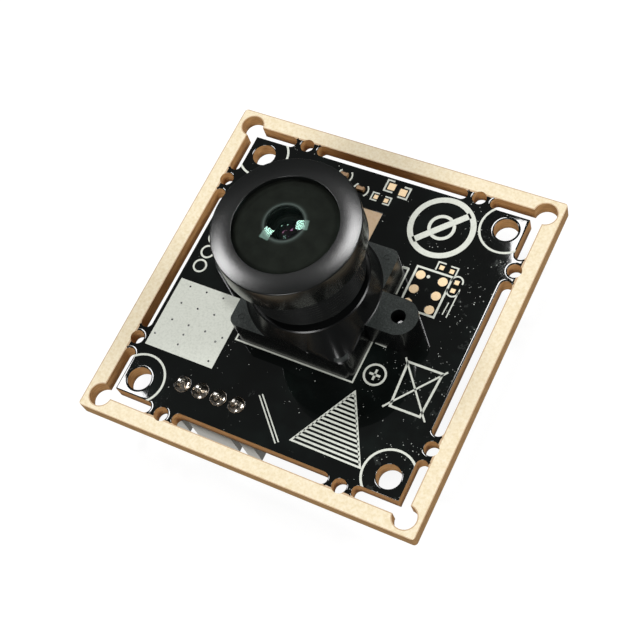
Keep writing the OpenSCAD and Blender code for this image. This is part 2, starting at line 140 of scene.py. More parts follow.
def ramp(tree, value, stops):
    """A colour ramp over value; stops are (position, linear colour)."""
    made = add(tree, "ShaderNodeValToRGB", links={"Fac": value})
    bar = made.color_ramp
    while len(bar.elements) < len(stops):
        bar.elements.new(0.5)
    for element, (position, colour) in zip(bar.elements, stops):
        element.position = position
        element.color = colour
    return made.outputs["Color"]


def grey(v):
    """A neutral linear colour."""
    return (v, v, v, 1.0)


def blend_colour(tree, share, a, b):
    """Colour a going over into b by share; numbers and colours are set and sockets are linked."""
    made = add(tree, "ShaderNodeMix", data_type="RGBA", blend_type="MIX")
    for name, value in (("Factor", share), ("A", a), ("B", b)):
        socket = next(s for s in made.inputs if s.name == name and s.enabled)
        if isinstance(value, (int, float, tuple)):
            socket.default_value = value
        else:
            tree.links.new(value, socket)
    return next(s for s in made.outputs if s.enabled)


def sums(tree, kind, a, b=None, c=None):
    """One Math node; numbers are set and sockets are linked."""
    made = add(tree, "ShaderNodeMath", operation=kind)
    for i, value in enumerate((a, b, c)):
        if value is None:
            continue
        if isinstance(value, (int, float)):
            made.inputs[i].default_value = value
        else:
            tree.links.new(value, made.inputs[i])
    return made.outputs[0]


def bump(tree, shader, height, depth_mm, strength):
    """Lets height, of depth_mm at most, tilt the shader's normal."""
    made = add(tree, "ShaderNodeBump", {"Distance": depth_mm * MM, "Strength": strength},
               {"Height": height})
    tree.links.new(made.outputs["Normal"], shader.inputs["Normal"])


def axes(tree, where):
    """The three parts of a vector socket."""
    made = add(tree, "ShaderNodeSeparateXYZ", links={"Vector": where})
    return made.outputs["X"], made.outputs["Y"], made.outputs["Z"]


def up_share(tree):
    """1 on faces that look straight up or down, 0 on walls."""
    normal = add(tree, "ShaderNodeNewGeometry").outputs["Normal"]
    z = axes(tree, normal)[2]
    return sums(tree, "GREATER_THAN", sums(tree, "ABSOLUTE", z), 0.7)


def laminate():
    """Glass-epoxy laminate, bare: cream resin over a faint weave, and routed walls of a browner
    resin with the plies showing as thin level streaks; it gives the warm matt frame."""
    made, tree, shader = finish_of("bare_glass_epoxy_laminate", "#EADFC6", Roughness=0.52, IOR=1.5)
    where = place(tree)
    x, y = axes(tree, where)[:2]
    weave = add(tree, "ShaderNodeTexWave",
                {"Scale": 1 / (2.6 * MM), "Distortion": 1.5, "Detail": 2.0, "Detail Scale": 2.0},
                {"Vector": where}, wave_type="BANDS", bands_direction="DIAGONAL").outputs["Fac"]
    grain = fine_noise(tree, where, 0.35, 3.0, 0.6)
    cloud = fine_noise(tree, where, 7.0, 2.0)
    face = ramp(tree, grain,
                [(0.3, linear("#E3D1A9")), (0.55, linear("#F0E2C3")), (0.8, linear("#F6EDD6"))])
    face = blend_colour(tree, sums(tree, "MULTIPLY", weave, 0.10), face, linear("#CDB488"))
    face = blend_colour(tree, sums(tree, "MULTIPLY", cloud, 0.25), face, linear("#F0E2C4"))
    # thin darker brown line along the frame's cut edges and round its corner reliefs: partly the
    # browner resin at the cut, partly painted shade of the rounded edges
    ax, ay = sums(tree, "ABSOLUTE", x), sums(tree, "ABSOLUTE", y)
    out = sums(tree, "MAXIMUM", ax, ay)
    inner = sums(tree, "LESS_THAN", out, (FRAME_IN + 0.13) * MM)
    outer = sums(tree, "GREATER_THAN", out, (FRAME_HALF - 0.11) * MM)
    dx = sums(tree, "SUBTRACT", ax, (FRAME_IN - 0.1) * MM)
    dy = sums(tree, "SUBTRACT", ay, (FRAME_IN - 0.1) * MM)
    relief = sums(tree, "SQRT",
                  sums(tree, "ADD", sums(tree, "MULTIPLY", dx, dx), sums(tree, "MULTIPLY", dy, dy)))
    relief = sums(tree, "LESS_THAN", relief, 1.58 * MM)
    edge = sums(tree, "MAXIMUM", sums(tree, "MAXIMUM", inner, outer), relief)
    soft = sums(tree, "MULTIPLY", edge, 0.62)
    face = blend_colour(tree, soft, face, linear("#A8794A"))
    # plies, as level streaks about 0.14 mm thick
    plies = add(tree, "ShaderNodeTexNoise", {"Scale": 1.0, "Detail": 2.0},
                {"Vector": add(tree, "ShaderNodeMapping", {"Scale": (900, 900, 7000)},
                               {"Vector": where}).outputs["Vector"]})
    wall = ramp(tree, plies.outputs["Fac"],
                [(0.25, linear("#9C7046")), (0.5, linear("#C2955F")), (0.75, linear("#D8B07A"))])
    side = fine_noise(tree, where, 5.0, 1.0)
    wall = blend_colour(tree, sums(tree, "MULTIPLY", side, 0.5), wall, linear("#CFA36C"))
    colour = blend_colour(tree, up_share(tree), wall, face)
    tree.links.new(colour, shader.inputs["Base Color"])
    bump(tree, shader, sums(tree, "ADD", grain, sums(tree, "MULTIPLY", weave, 0.4)), 0.02, 0.5)
    return made


def lacquer(with_lint_and_glints):
    """Solder mask, a liquid photo-cured epoxy lacquer: glossy near-black with a trace of green,
    slightly wavy over the copper; on the top side, lint specks and faint grey films that are
    partly painted glints and painted sheen, thickest towards the +X edge."""
    made, tree, shader = finish_of("black_solder_mask_" + ("top" if with_lint_and_glints else "under"), "#0A0C0B",
                                   Roughness=0.14, IOR=1.5)
    where = place(tree)
    x = axes(tree, where)[0]
    patch = fine_noise(tree, where, 6.0, 3.0, 0.6)
    colour = ramp(tree, patch,
                  [(0.35, linear("#080A09")), (0.55, linear("#0B0E0D")), (0.75, linear("#121816"))])
    haze = fine_noise(tree, where, 1.6, 5.0, 0.7)
    rough = ramp(tree, haze, [(0.35, grey(0.02)), (0.6, grey(0.03)), (0.8, grey(0.06))])
    if with_lint_and_glints:
        # specks up to 0.14 mm across, partly lint and partly painted glints, thickest towards the
        # +X edge where the lamps are mirrored
        specks = add(tree, "ShaderNodeTexVoronoi", {"Scale": 1 / (0.42 * MM)}, {"Vector": where})
        small = sums(tree, "LESS_THAN", specks.outputs["Distance"], 0.17)
        few = fine_noise(tree, where, 2.4, 4.0, 0.75)
        edge = add(tree, "ShaderNodeMapRange",
                   {"From Min": 5 * MM, "From Max": 19 * MM, "To Min": 0.0, "To Max": 0.09},
                   {"Value": x}).outputs[0]
        patchy = sums(tree, "GREATER_THAN", sums(tree, "ADD", few, edge), 0.60)
        lint_and_glints = sums(tree, "MULTIPLY", small, patchy)
        lint_and_glints = sums(tree, "MULTIPLY", lint_and_glints, specks.outputs["Color"])
        colour = blend_colour(tree, lint_and_glints, colour, linear("#C9CDC6"))
        # faint grey films, partly smears left by wiping and partly painted sheen, stronger towards
        # the +X edge
        wipe_and_sheen = sums(tree, "MULTIPLY",
                    sums(tree, "GREATER_THAN", sums(tree, "ADD", haze, edge), 0.70), 0.06)
        colour = blend_colour(tree, wipe_and_sheen, colour, linear("#8E958F"))
    tree.links.new(colour, shader.inputs["Base Color"])
    tree.links.new(rough, shader.inputs["Roughness"])
    swell = fine_noise(tree, where, 1.1, 2.0)
    bump(tree, shader, swell, 0.0015, 0.5)
    return made


def ink():
    """Legend ink, a screen-printed white epoxy: flat, slightly chalky, thin at its edges."""
    made, tree, shader = finish_of("white_screened_ink", "#D6D9CE", Roughness=0.55, IOR=1.5)
    where = place(tree)
    chalk = fine_noise(tree, where, 0.25, 3.0, 0.6)
    cloud = fine_noise(tree, where, 4.0, 2.0)
    colour = ramp(tree, chalk,
                  [(0.25, linear("#C6CABF")), (0.5, linear("#D8DBD0")), (0.8, linear("#E0E3D9"))])
    colour = blend_colour(tree, sums(tree, "MULTIPLY", cloud, 0.25), colour, linear("#C9CCC0"))
    tree.links.new(colour, shader.inputs["Base Color"])
    bump(tree, shader, chalk, 0.01, 0.6)
    return made


def gold():
    """Immersion gold over nickel and copper, as etched: matt peach with a fine tooth."""
    made, tree, shader = finish_of("immersion_gold_contacts", "#EBCDA0", Roughness=0.5,
                                   Metallic=0.35)
    where = place(tree)
    tooth = fine_noise(tree, where, 0.12, 3.0)
    colour = ramp(tree, tooth, [(0.3, linear("#E2C398")), (0.6, linear("#F0D6AE"))])
    tree.links.new(colour, shader.inputs["Base Color"])
    bump(tree, shader, tooth, 0.006, 0.5)
    return made


def nylon():
    """Glass-filled nylon, moulded: polished walls and a spark-eroded grain on the flats of the ears
    and corners; walls shine black, and the flats' dark grey is painted sheen of that grain."""
    made, tree, shader = finish_of("black_glass_filled_nylon", "#0D0E0E", Roughness=0.22, IOR=1.5,
                                   Specular_IOR_Level=0.3)
    where = place(tree)
    z = axes(tree, where)[2]
    # the grained flats lie in this band above the lacquer
    flat_low, flat_full, flat_end = 4.1, 4.28, 4.45
    flat = add(tree, "ShaderNodeMapRange", {"From Min": flat_low * MM + LACQUER_TOP * MM,
                                            "From Max": flat_full * MM + LACQUER_TOP * MM},
               {"Value": z}).outputs[0]
    below = sums(tree, "LESS_THAN", z, flat_end * MM + LACQUER_TOP * MM)
    share = sums(tree, "MULTIPLY", sums(tree, "MULTIPLY", flat, below), up_share(tree))
    grain = fine_noise(tree, where, 0.16, 2.0, 0.6)
    # painted sheen: the upward grained flats get a dark grey colour for the light their grain
    # scatters
    grain_sheen = ramp(tree, grain,
                [(0.3, linear("#1B1E1D")), (0.6, linear("#2E3331")), (0.8, linear("#474D4A"))])
    colour = blend_colour(tree, share, linear("#0B0C0C"), grain_sheen)
    tree.links.new(colour, shader.inputs["Base Color"])
    rough = blend_colour(tree, share, grey(0.24), grey(0.62))
    tree.links.new(rough, shader.inputs["Roughness"])
    flow = fine_noise(tree, where, 1.8, 2.0)
    height = blend_colour(tree, share, flow, grain)
    bump(tree, shader, height, 0.035, 0.55)
    return made


def anodised(name, rough, grain_mm, depth_mm):
    """Aluminium, bead blasted and black anodised: a soft broad shine broken by a fine sparkle."""
    made, tree, shader = finish_of(name, "#0C0D0D", Roughness=rough, IOR=1.6,
                                   Specular_IOR_Level=0.36)
    where = place(tree)
    grain = fine_noise(tree, where, grain_mm, 2.0, 0.6)
    colour = ramp(tree, grain, [(0.3, linear("#090A0A")), (0.7, linear("#121413"))])
    tree.links.new(colour, shader.inputs["Base Color"])
    bump(tree, shader, grain, depth_mm, 0.6)
    return made


def optical_glass(name, tint, **settings):
    """Optical glass, polished and coated: clear, with reflections in the colour of its coating."""
    return finish_of(name, tint, Roughness=0.0, IOR=1.5, Transmission_Weight=1.0, **settings)[0]


def front_glass_finish(clear_r):
    """Front glass, polished and coated: clear over its bowl and blackened from behind outside
    it, so the wide ring looks a deep matt green-grey while its surface mirrors lamps in teal."""
    made, tree, shader = finish_of("coated_front_glass", "#E9F2EE", Roughness=0.0, IOR=1.5,
                                   Transmission_Weight=1.0)
    where = place(tree)
    flat = add(tree, "ShaderNodeVectorMath", {1: (1, 1, 0)}, {0: where}, operation="MULTIPLY")
    radius = add(tree, "ShaderNodeVectorMath", links={0: flat.outputs[0]},
                 operation="LENGTH").outputs["Value"]
    cloud = fine_noise(tree, where, 1.5, 3.0)
    paint = ramp(tree, cloud, [(0.3, linear("#1B1D1A")), (0.7, linear("#212420"))])
    # frosted band where the bowl was ground, soft on both sides
    band = sums(tree, "DIVIDE", sums(tree, "SUBTRACT", radius, (clear_r - 0.12) * MM), 0.26 * MM)
    band = sums(tree, "EXPONENT", sums(tree, "MULTIPLY", sums(tree, "MULTIPLY", band, band), -1.0))
    paint = blend_colour(tree, sums(tree, "MULTIPLY", band, 0.55), paint, linear("#66736E"))
    back = add(tree, "ShaderNodeBsdfPrincipled",
               {"Roughness": 0.0, "IOR": 1.5, "Specular IOR Level": 0.12,
               "Specular Tint": linear("#A5D8C6")}, {"Base Color": paint})
    shader.inputs["Specular IOR Level"].default_value = 0.12
    shader.inputs["Specular Tint"].default_value = linear("#A5D8C6")
    share = add(tree, "ShaderNodeMapRange",
                {"From Min": (clear_r - 0.3) * MM, "From Max": (clear_r + 0.05) * MM},
                {"Value": radius}, interpolation_type="SMOOTHSTEP").outputs[0]
    mixed = add(tree, "ShaderNodeMixShader",
                links={0: share, 1: shader.outputs[0], 2: back.outputs[0]})
    tree.links.new(mixed.outputs[0], tree.nodes["Material Output"].inputs["Surface"])
    return made


def matt_black(name, colour):
    """Blacking paint or anodised foil inside the lens: matt, so that only its edges show."""
    made, tree, shader = finish_of(name, colour, Roughness=0.7)
    where = place(tree)
    cloud = fine_noise(tree, where, 0.3, 2.0)
    tree.links.new(ramp(tree, cloud, [(0.3, linear("#030404")), (0.7, linear(colour))]),
                   shader.inputs["Base Color"])
    return made


def tin(name, colour, rough, size_mm=0.2):
    """Tin or tin-lead, reflowed or plated: bright silver metal with a slightly crystalline skin."""
    made, tree, shader = finish_of(name, colour, Roughness=rough, Metallic=1.0)
    where = place(tree)
    skin = fine_noise(tree, where, size_mm, 3.0)
    tree.links.new(ramp(tree, skin, [(0.3, linear("#8F8C88")), (0.65, linear(colour))]),
                   shader.inputs["Base Color"])
    bump(tree, shader, skin, 0.02, 0.4)
    return made


def plastic(name, dark, light, rough, grain_mm=0.2, depth_mm=0.01):
    """Moulded plastic or epoxy with a fine even grain from its mould."""
    made, tree, shader = finish_of(name, light, Roughness=rough, IOR=1.5)
    where = place(tree)
    grain = fine_noise(tree, where, grain_mm, 3.0)
    tree.links.new(ramp(tree, grain, [(0.3, linear(dark)), (0.7, linear(light))]),
                   shader.inputs["Base Color"])
    bump(tree, shader, grain, depth_mm, 0.5)
    return made


# ---------------------------------------------------------------- mesh building

def to_object(name, bm, materials, angle=35.0, replaces=(), open_shell=False):
    """Turns a bmesh in millimetres into a piece that rides with the board."""
    bmesh.ops.scale(bm, vec=(MM, MM, MM), verts=bm.verts)
    if not open_shell:
        bmesh.ops.recalc_face_normals(bm, faces=bm.faces)
    mesh = bpy.data.meshes.new(name)
    bm.to_mesh(mesh)
    bm.free()
    for material in materials:
        mesh.materials.append(material)
    mesh.shade_smooth()
    mesh.set_sharp_from_angle(angle=math.radians(angle))
    made = bpy.data.objects.new(name, mesh)
    bpy.context.scene.collection.objects.link(made)
    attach(made, "root")
    if replaces:
        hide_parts(*replaces)
    return made


def revolve(bm, profile, steps=128, centre=(0, 0), closed=True):
    """Turns a profile of (radius, height) points about an upright axis."""
    rings = []
    for r, z in profile:
        if r < 1e-6:
            rings.append([bm.verts.new((centre[0], centre[1], z))])
            continue
        rings.append([bm.verts.new((centre[0] + r * math.cos(2 * math.pi * i / steps),
                                    centre[1] + r * math.sin(2 * math.pi * i / steps),
                                    z)) for i in range(steps)])
    pairs = list(zip(rings, rings[1:]))
    if closed and len(rings[0]) > 1 and len(rings[-1]) > 1:
        pairs.append((rings[-1], rings[0]))
    for a, b in pairs:
        for i in range(steps):
            j = (i + 1) % steps
            corners = [a[i % len(a)], a[j % len(a)], b[j % len(b)], b[i % len(b)]]
            unique = list(dict.fromkeys(corners))
            if len(unique) > 2:
                bm.faces.new(unique)
    return rings


def arc_points(cx, cy, r, a0, a1, n):
    """Points of an arc from a0 to a1 degrees, in n steps."""
    return [(cx + r * math.cos(math.radians(a0 + (a1 - a0) * i / n)),
             cy + r * math.sin(math.radians(a0 + (a1 - a0) * i / n)))
            for i in range(n + 1)]


def stroke(bm, points, width, z0, z1, closed=False):
    """A flat printed line of even width along points."""
    points = [Vector(p) for p in points]
    n = len(points)
    left, right = [], []
    for i, p in enumerate(points):
        before = points[i - 1] if i or closed else None
        after = points[(i + 1) % n] if i < n - 1 or closed else None
        a = (p - before).normalized() if before is not None else (after - p).normalized()
        b = (after - p).normalized() if after is not None else a
        t = (a + b).normalized() if (a + b).length > 1e-6 else a
        side = Vector((-t.y, t.x)) * (width / 2) / max(0.35, t.dot(a))
        left.append(p + side)
        right.append(p - side)
    rows = [[bm.verts.new((q.x, q.y, z)) for q in line] for line,
            z in ((left, z0), (left, z1), (right, z1), (right, z0))]
    for i in range(n if closed else n - 1):
        j = (i + 1) % n
        for a, b in zip(rows, rows[1:]):
            bm.faces.new((a[i], a[j], b[j], b[i]))
    if not closed:
        for k in (0, n - 1):
            bm.faces.new([row[k] for row in (rows if k else reversed(rows))])


def square_points(cx, cy, w):
    """Corners of an upright square about (cx, cy), left about."""
    return [(cx + sx * w / 2, cy + sy * w / 2) for sx, sy in ((-1, -1), (1, -1), (1, 1), (-1, 1))]


def turned(points, quarter):
    """Points turned by so many quarters of a circle, left about."""
    c, s = ((1, 0), (0, 1), (-1, 0), (0, -1))[quarter]
    return [(x * c - y * s, x * s + y * c) for x, y in points]


def dress(node, material):
    """Gives a CAD node its finish; its mesh stays as it is."""
    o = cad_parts[node]
    o.data.materials.clear()
    o.data.materials.append(material)


# ---------------------------------------------------------------- lacquer

def lacquer_outline():
    """The lacquer's edge: four sides, each running out over two tabs between the slots."""
    reach = LACQUER_REACH
    r = SLOT / 2
    mid = BOARD_HALF + r
    long_end = TAB_AT - TAB_HALF - r
    short_end = TAB_AT + TAB_HALF + r
    rise = math.degrees(math.asin((reach - mid) / r))
    hole_y = BOARD_HALF + TAB_HOLE_OUT
    open_at = math.degrees(math.asin((reach - hole_y) / TAB_HOLE_R))
    half = arc_points(short_end, mid, r, 270, 180 - rise, 14)
    half += arc_points(TAB_AT, hole_y, TAB_HOLE_R, open_at, -180 - open_at, 26)
    half += arc_points(long_end, mid, r, rise, -90, 14)
    # right to left along the upper side, seen from above
    side = [(BOARD_HALF, BOARD_HALF)] + half + [(-x, y) for x, y in reversed(half)]
    loop = []
    for q in range(4):
        loop += turned(side, q)
    return loop


def inset_loop(points, distance):
    """Moves a loop to its left by distance; a loop runs with its material on the left."""
    n = len(points)
    moved = []
    for i in range(n):
        p = Vector(points[i])
        a = p - Vector(points[i - 1])
        b = Vector(points[(i + 1) % n]) - p
        a = a.normalized() if a.length > 1e-9 else b.normalized()
        b = b.normalized() if b.length > 1e-9 else a
        na, nb = Vector((-a.y, a.x)), Vector((-b.y, b.x))
        bis = (na + nb)
        bis = bis.normalized() if bis.length > 1e-6 else na
        moved.append(tuple(p + bis * distance / max(0.4, bis.dot(na))))
    return moved


def lacquer_sheet(bm, loops, z_low, z_high):
    """A film whose edges roll down; loops are (points, width of the rolled edge)."""
    flat_edges = []
    down = z_high - z_low
    for points, lip in loops:
        steps = (0.0, 0.12, 0.35, 0.65, 1.0, 1.25)
        rings = []
        for s in steps:
            k = min(1.0, s)
            z = z_high - down * (1 - math.sqrt(max(0.0, 1 - (1 - k) ** 2)))
            ring = points if s == 0 else inset_loop(points, lip * s)
            rings.append([bm.verts.new((x, y, z)) for x, y in ring])
        n = len(points)
        for a, b in zip(rings, rings[1:]):
            for i in range(n):
                j = (i + 1) % n
                bm.faces.new((a[i], a[j], b[j], b[i]))
        last = rings[-1]
        flat_edges += [bm.edges.get((last[i], last[(i + 1) % n])) for i in range(n)]
    bmesh.ops.triangle_fill(bm, use_beauty=True, use_dissolve=False, edges=flat_edges,
                            normal=(0, 0, 1))


def round_hole(x, y, r, n=40):
    """A circle that runs right about, as the edge of a hole does."""
    return [(x + r * math.cos(-2 * math.pi * i / n),
             y + r * math.sin(-2 * math.pi * i / n)) for i in range(n)]


# openings in the lacquer: their middles, radii and sides in millimetres
PIN_HOLE_R, TEST_PAD_R = 1.02, 0.6
SMALL_PAD_W, LARGE_PAD_W = 0.59, 0.99
TEST_PADS = [(x, y) for x in (9.6, 12.5) for y in (7.75, 5.75, 3.8)]
SMALL_PADS = [(11.63, 9.47), (12.98, 9.38), (14.14, 8.22), (14.12, 7.08), (-0.22, 15.84),
              (1.22, 15.73)]
LARGE_PADS = [(1.08, 17.82), (2.76, 17.47)]
PIN_PLACES = [(-7.6 + (i - 1.5) * 2.5, -15.5) for i in range(4)]


class CAMERAMODULE_OT_board(bpy.types.Operator):
    """Dress the laminate and lay the black lacquer over it with rolled edges"""

    bl_idname = "camera_module.board"
    bl_label = "Circuit board"

    def execute(self, context):
        sizes = context.scene.camera_module_board
        dress("circuit_board", laminate())
        dress("solder_mask_bottom", lacquer(False))
        bm = bmesh.new()
        loops = [(lacquer_outline(), sizes.edge_roll / MM)]
        for x, y in square_points(0, 0, 2 * HOLE_AT):
            loops.append((round_hole(x, y, HOLE_R, 48), sizes.edge_roll / MM))
        for x, y in PIN_PLACES:
            loops.append((round_hole(x, y, PIN_HOLE_R), 0.05))
        px, py = PAD_CORNER
        loops.append((list(reversed(square_points(px + PAD_W / 2, py + PAD_W / 2, PAD_W))), 0.05))
        for x, y in TEST_PADS:
            loops.append((round_hole(x, y, TEST_PAD_R, 24), 0.04))
        for x, y in SMALL_PADS:
            loops.append((list(reversed(square_points(x, y, SMALL_PAD_W))), 0.03))
        for x, y in LARGE_PADS:
            loops.append((list(reversed(square_points(x, y, LARGE_PAD_W))), 0.03))
        lacquer_sheet(bm, loops, BOARD_TOP + 0.004, LACQUER_TOP)
        film = to_object("lacquer_film", bm, [lacquer(True)], 40,
                         ["solder_mask_top"], open_shell=True)
        if film.data.polygons[-1].normal.z < 0:
            raise RuntimeError("the lacquer faces down")
        return {"FINISHED"}


class CAMERAMODULE_OT_legend(bpy.types.Operator):
    """Print the white fields, outlines and plain signs, and the dots of the plated holes"""

    bl_idname = "camera_module.legend"
    bl_label = "Printed legend"

    def execute(self, context):
        white = ink()
        dress("printed_legend", white)
        dress("contact_pads", gold())
        z0, z1 = LACQUER_TOP - 0.004, LACQUER_TOP + 0.03
        bm = bmesh.new()

        def line(points, width=0.24, closed=False):
            stroke(bm, points, width, z0, z1, closed)

        # the sign by the upper corner: a thick ring with a slanting bar over a broken inner ring
        cx, cy = 9.35, 14.5
        line(arc_points(cx, cy, 3.88, 0, 360, 80)[:-1], 0.72, True)
        d = 3.8 / math.sqrt(2)
        line([(cx - d, cy - d), (cx + d, cy + d)], 0.8)
        line(arc_points(cx, cy, 1.55, 60, 210, 24), 0.42)
        line(arc_points(cx, cy, 1.55, 240, 390, 24), 0.42)
        # plain rings by the left edge
        for y in (3.7, 1.6, -0.5):
            line(arc_points(-17.1, y, 0.82, 0, 360, 32)[:-1], 0.24, True)
        # footprint of the part left off on the right, with brackets and strokes
        line([(8.79, 3.05), (13.4, 3.05), (13.4, 8.7), (8.79, 8.7)], 0.26, True)
        line(arc_points(10.6, 7.8, 0.12, 0, 360, 12)[:-1], 0.2, True)
        for x, y in ((11.63, 9.47), (12.98, 9.38)):
            s = -1 if x < 12 else 1
            line([(x - s * 0.35, y + 0.62), (x + s * 0.62, y + 0.62), (x + s * 0.62, y - 0.5)],
                 0.18)
        line(arc_points(14.13, 8.3, 0.72, -10, 190, 14), 0.2)
        line(arc_points(14.13, 7.0, 0.72, 170, 370, 14), 0.2)
        line([(14.3, 5.46), (14.2, 3.73)], 0.13)
        line([(14.85, 7.49), (14.8, 3.54)], 0.15)
        # two slanting strokes by the connector
        for off in (-0.2, 0.2):
            line([(-1.63 + off * 0.7, -13.27 + off * 0.7), (2.94 + off * 0.7, -17.95 + off * 0.7)],
                 0.16)
        # stubs beside the ear
        line([(8.3, -2.3), (9.8, -2.4)], 0.26)
        line([(7.95, 8.0), (7.13, 8.0)], 0.22)
        # brackets of the small parts by the upper edge
        for x, y, s in ((-5.31, 17.35, 1.0), (-2.47, 16.15, 1.0)):
            line(arc_points(x, y, 0.98, -48, 48, 10), 0.2)
            line(arc_points(x, y, 0.98, 132, 228, 10), 0.2)
        for x, y in ((-0.22, 15.84), (1.22, 15.73)):
            s = -1 if x < 0.5 else 1
            line([(x - s * 0.3, y + 0.52), (x + s * 0.55, y + 0.52), (x + s * 0.55, y - 0.52),
                  (x - s * 0.3, y - 0.52)], 0.18)
        for x, y in LARGE_PADS:
            s = -1 if x < 2 else 1
            line([(x - s * 0.1, y + 0.78), (x + s * 0.78, y + 0.78), (x + s * 0.78, y - 0.78),
                  (x - s * 0.4, y - 0.78)], 0.22)
        # a plus in a ring
        line(arc_points(10.0, -6.1, 1.3, 0, 360, 36)[:-1], 0.26, True)
        line([(10.0, -5.4), (10.0, -6.8)], 0.28)
        line([(9.3, -6.1), (10.7, -6.1)], 0.28)
        # keep-out box with a cross
        box = [(13.0, -3.2), (17.4, -3.2), (17.1, -9.0), (13.3, -9.0)]
        line(box, 0.28, True)
        line([(12.5, -9.4), (17.9, -2.8)], 0.22)
        line([(12.5, -2.8), (17.9, -9.4)], 0.22)
        # hatched triangle
        top, right, left = Vector((8.73, -8.88)), Vector((13.31, -17.09)), Vector((4.32, -17.01))
        line([tuple(top), tuple(right), tuple(left)], 0.24, True)
        rows = 15
        for i in range(1, rows):
            k = i / rows
            a, b = top.lerp(left, k), top.lerp(right, k)
            line([tuple(a), tuple(b)], 0.26)
        to_object("printed_signs", bm, [white], 20)

        # plated holes under the white field show as small dark dents with a pale rim
        bm = bmesh.new()
        dots = [(x, y) for x in (-16.82, -14.43, -12.04) for y in (-3.54, -5.94, -8.35)]
        dots += [(-17.99, -10.75), (-14.44, -9.69), (-9.6, -8.36), (-10.18, -9.12),
                 (-14.44, -11.11), (-9.76, -11.71)]
        dent = ((0, 0.002), (0.08, 0.003), (0.12, 0.012),
                (0.16, -0.01))  # radius and height over the ink
        for x, y in dots:
            revolve(bm, [(r, z1 + up) for r, up in dent], 16, (x, y), closed=False)
        to_object("field_via_dots", bm, [lacquer(False)], 60)
        return {"FINISHED"}


class CAMERAMODULE_OT_holder(bpy.types.Operator):
    """Finish the moulded lens holder, its screws, the filter and the sensor"""

    bl_idname = "camera_module.holder"
    bl_label = "Lens holder"

    def execute(self, context):
        moulded = nylon()
        dress("lens_holder", moulded)
        self.shoulders(moulded)
        dress("holder_screws", tin("zinc_plated_steel_screws", "#A9ABAD", 0.35, 0.15))
        dress("infrared_filter", optical_glass("blue_filter_glass", "#9CC4D6"))
        dress("image_sensor", plastic("dark_ceramic_package", "#1C1D20", "#2B2D31", 0.5))
        dress("sensor_glass", optical_glass("sensor_cover_glass", "#DDE8E6"))
        return {"FINISHED"}

    def shoulders(self, moulded):
        """Builds the smooth surfaces from the collar's rim to two corners of the base."""
        rim_r, rim_up = 7.3, 7.02
        edge_up, foot_up = 4.02, 3.8
        corner_r, hollow, inside = 1.1, 0.25, 0.8
        bm = bmesh.new()
        for quarter in (0, 2):
            inner, outer = shoulder_rings(rim_r, LACQUER_TOP + rim_up, HOLDER_HALF, corner_r,
                                          LACQUER_TOP + edge_up, quarter)
            rows = []
            for k in (0.0, 0.25, 0.5, 0.75, 1.0):
                lift = hollow * math.sin(math.pi * k)
                row = []
                for p, q in zip(inner, outer):
                    x, y, z = (a + (b - a) * k for a, b in zip(p, q))
                    row.append(bm.verts.new((x, y, z - lift)))
                rows.append(row)
            rows.append([bm.verts.new((v.co.x, v.co.y, LACQUER_TOP + foot_up)) for v in rows[-1]])
            rows.append([bm.verts.new((v.co.x * inside, v.co.y * inside, LACQUER_TOP + foot_up))
                         for v in rows[0]])
            for a, b in zip(rows, rows[1:]):
                for i in range(len(a) - 1):
                    bm.faces.new((a[i], b[i], b[i + 1], a[i + 1]))
        to_object("holder_shoulders", bm, [moulded], 40)


def shoulder_rings(rim_r, rim_z, half, corner, edge_z, quarter, n=28):
    """Inner and outer rings of the surface from the collar's rim to a square corner."""
    outer, inner = [], []
    c = half - corner
    start, round_share = 0.2, 0.6  # shares of the run ahead of the rounded corner and along it
    for i in range(n + 1):
        # before and after the rounded corner the edge follows the straight sides
        if i < start * n:
            x, y = c * (0.32 + 0.68 * i / (start * n)), -half
        elif i > (start + round_share) * n:
            x, y = half, -c * (0.32 + 0.68 * (n - i) / (start * n))
        else:
            t = math.radians(-90 + 90 * (i - start * n) / (round_share * n))
            x, y = c + corner * math.cos(t), -c + corner * math.sin(t)
        t = math.atan2(y, x)
        inner.append((rim_r * math.cos(t), rim_r * math.sin(t), rim_z))
        outer.append((x, y, edge_z))
    return [[(*xy, q[2]) for xy, q in zip(turned([q[:2] for q in ring], quarter), ring)]
            for ring in (inner, outer)]


def bead(r, z, radius, a0, a1, n=6):
    """Points of a small rounded edge about (r, z)."""
    return [(r + radius * math.cos(math.radians(a0 + (a1 - a0) * i / n)),
             z + radius * math.sin(math.radians(a0 + (a1 - a0) * i / n))) for i in range(n + 1)]


